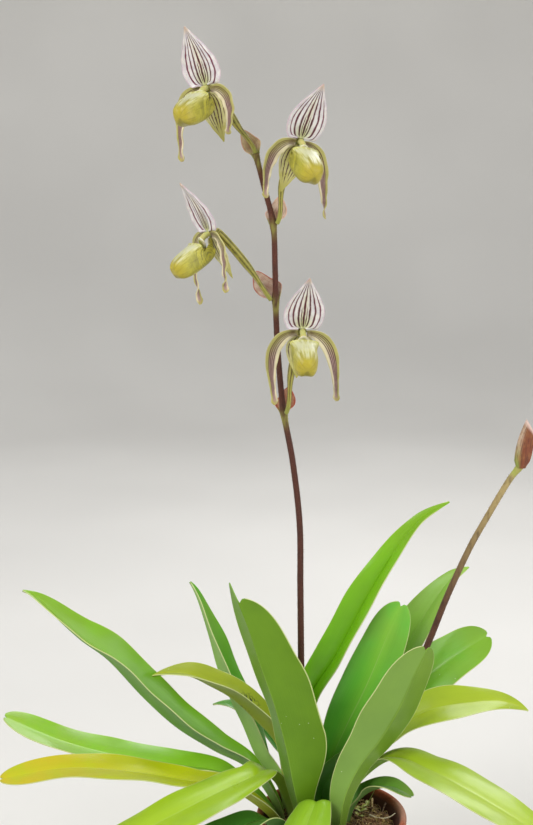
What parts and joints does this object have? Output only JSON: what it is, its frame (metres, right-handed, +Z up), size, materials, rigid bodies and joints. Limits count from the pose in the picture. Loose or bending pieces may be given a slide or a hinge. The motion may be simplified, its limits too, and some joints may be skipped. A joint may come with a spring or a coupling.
{
  "type": "potted slipper orchid",
  "caption": "Slipper orchid in a round clay pot, with strap leaves, a hairy stem of striped pouched flowers and a second stem that ends in a bud sheath.",
  "frame": {"origin": "centre of the pot's underside, on the surface it stands on", "axes": "+Z up along the pot's axis; the flowers face -Y; +X is to the right seen from the front"},
  "size_m": [0.5376, 0.2832, 0.8957],
  "materials": {
    "leaf": "glossy green leaf, paler along its edges",
    "stem": "matt dark red-brown stalk with short hairs",
    "dorsal_sepal": "soft petal, near white with dark maroon stripes",
    "synsepal": "soft petal, pale yellow-green with dark maroon stripes",
    "petal": "soft petal, yellow-green edges with fine maroon lines",
    "pouch": "waxy yellow-green, faint darker veins",
    "column": "waxy pale green",
    "ovary": "downy yellow-green with brown lines",
    "bract": "dry papery tan with darker lines",
    "pot": "unglazed terracotta, matt",
    "potting_mix": "rough bark chips and fibre",
    "bud_sheath": "papery sheath, tan-green and orange-brown"
  },
  "bodies": {
    "root": {"leaf_left_long": "leaf", "leaf_left_upright": "leaf", "leaf_centre_keel": "leaf", "leaf_left_arching": "leaf", "leaf_left_inner": "leaf", "leaf_left_twisted": "leaf", "leaf_left_low": "leaf", "leaf_front_left": "leaf", "leaf_front_left_under": "leaf", "leaf_front": "leaf", "leaf_back_tall": "leaf", "leaf_centre_broad": "leaf", "leaf_right_keel": "leaf", "leaf_back_right": "leaf", "leaf_right_broad": "leaf", "leaf_right_low": "leaf", "leaf_front_right": "leaf", "leaf_front_right_under": "leaf", "leaf_heart_left": "leaf", "leaf_heart_right": "leaf", "flowering_stem": "stem", "budding_stem": "stem", "dorsal_sepal_top_left": "dorsal_sepal", "synsepal_top_left": "synsepal", "petal_left_top_left": "petal", "petal_right_top_left": "petal", "pouch_top_left": "pouch", "column_top_left": "column", "ovary_top_left": "ovary", "bract_top_left": "bract", "dorsal_sepal_top_right": "dorsal_sepal", "synsepal_top_right": "synsepal", "petal_left_top_right": "petal", "petal_right_top_right": "petal", "pouch_top_right": "pouch", "column_top_right": "column", "ovary_top_right": "ovary", "bract_top_right": "bract", "dorsal_sepal_mid_left": "dorsal_sepal", "synsepal_mid_left": "synsepal", "petal_left_mid_left": "petal", "petal_right_mid_left": "petal", "pouch_mid_left": "pouch", "column_mid_left": "column", "ovary_mid_left": "ovary", "bract_mid_left": "bract", "dorsal_sepal_lower_front": "dorsal_sepal", "synsepal_lower_front": "synsepal", "petal_left_lower_front": "petal", "petal_right_lower_front": "petal", "pouch_lower_front": "pouch", "column_lower_front": "column", "ovary_lower_front": "ovary", "bract_lower_front": "bract", "pot": "pot", "potting_mix": "potting_mix", "bud_sheath": "bud_sheath"}
  },
  "joints": []
}
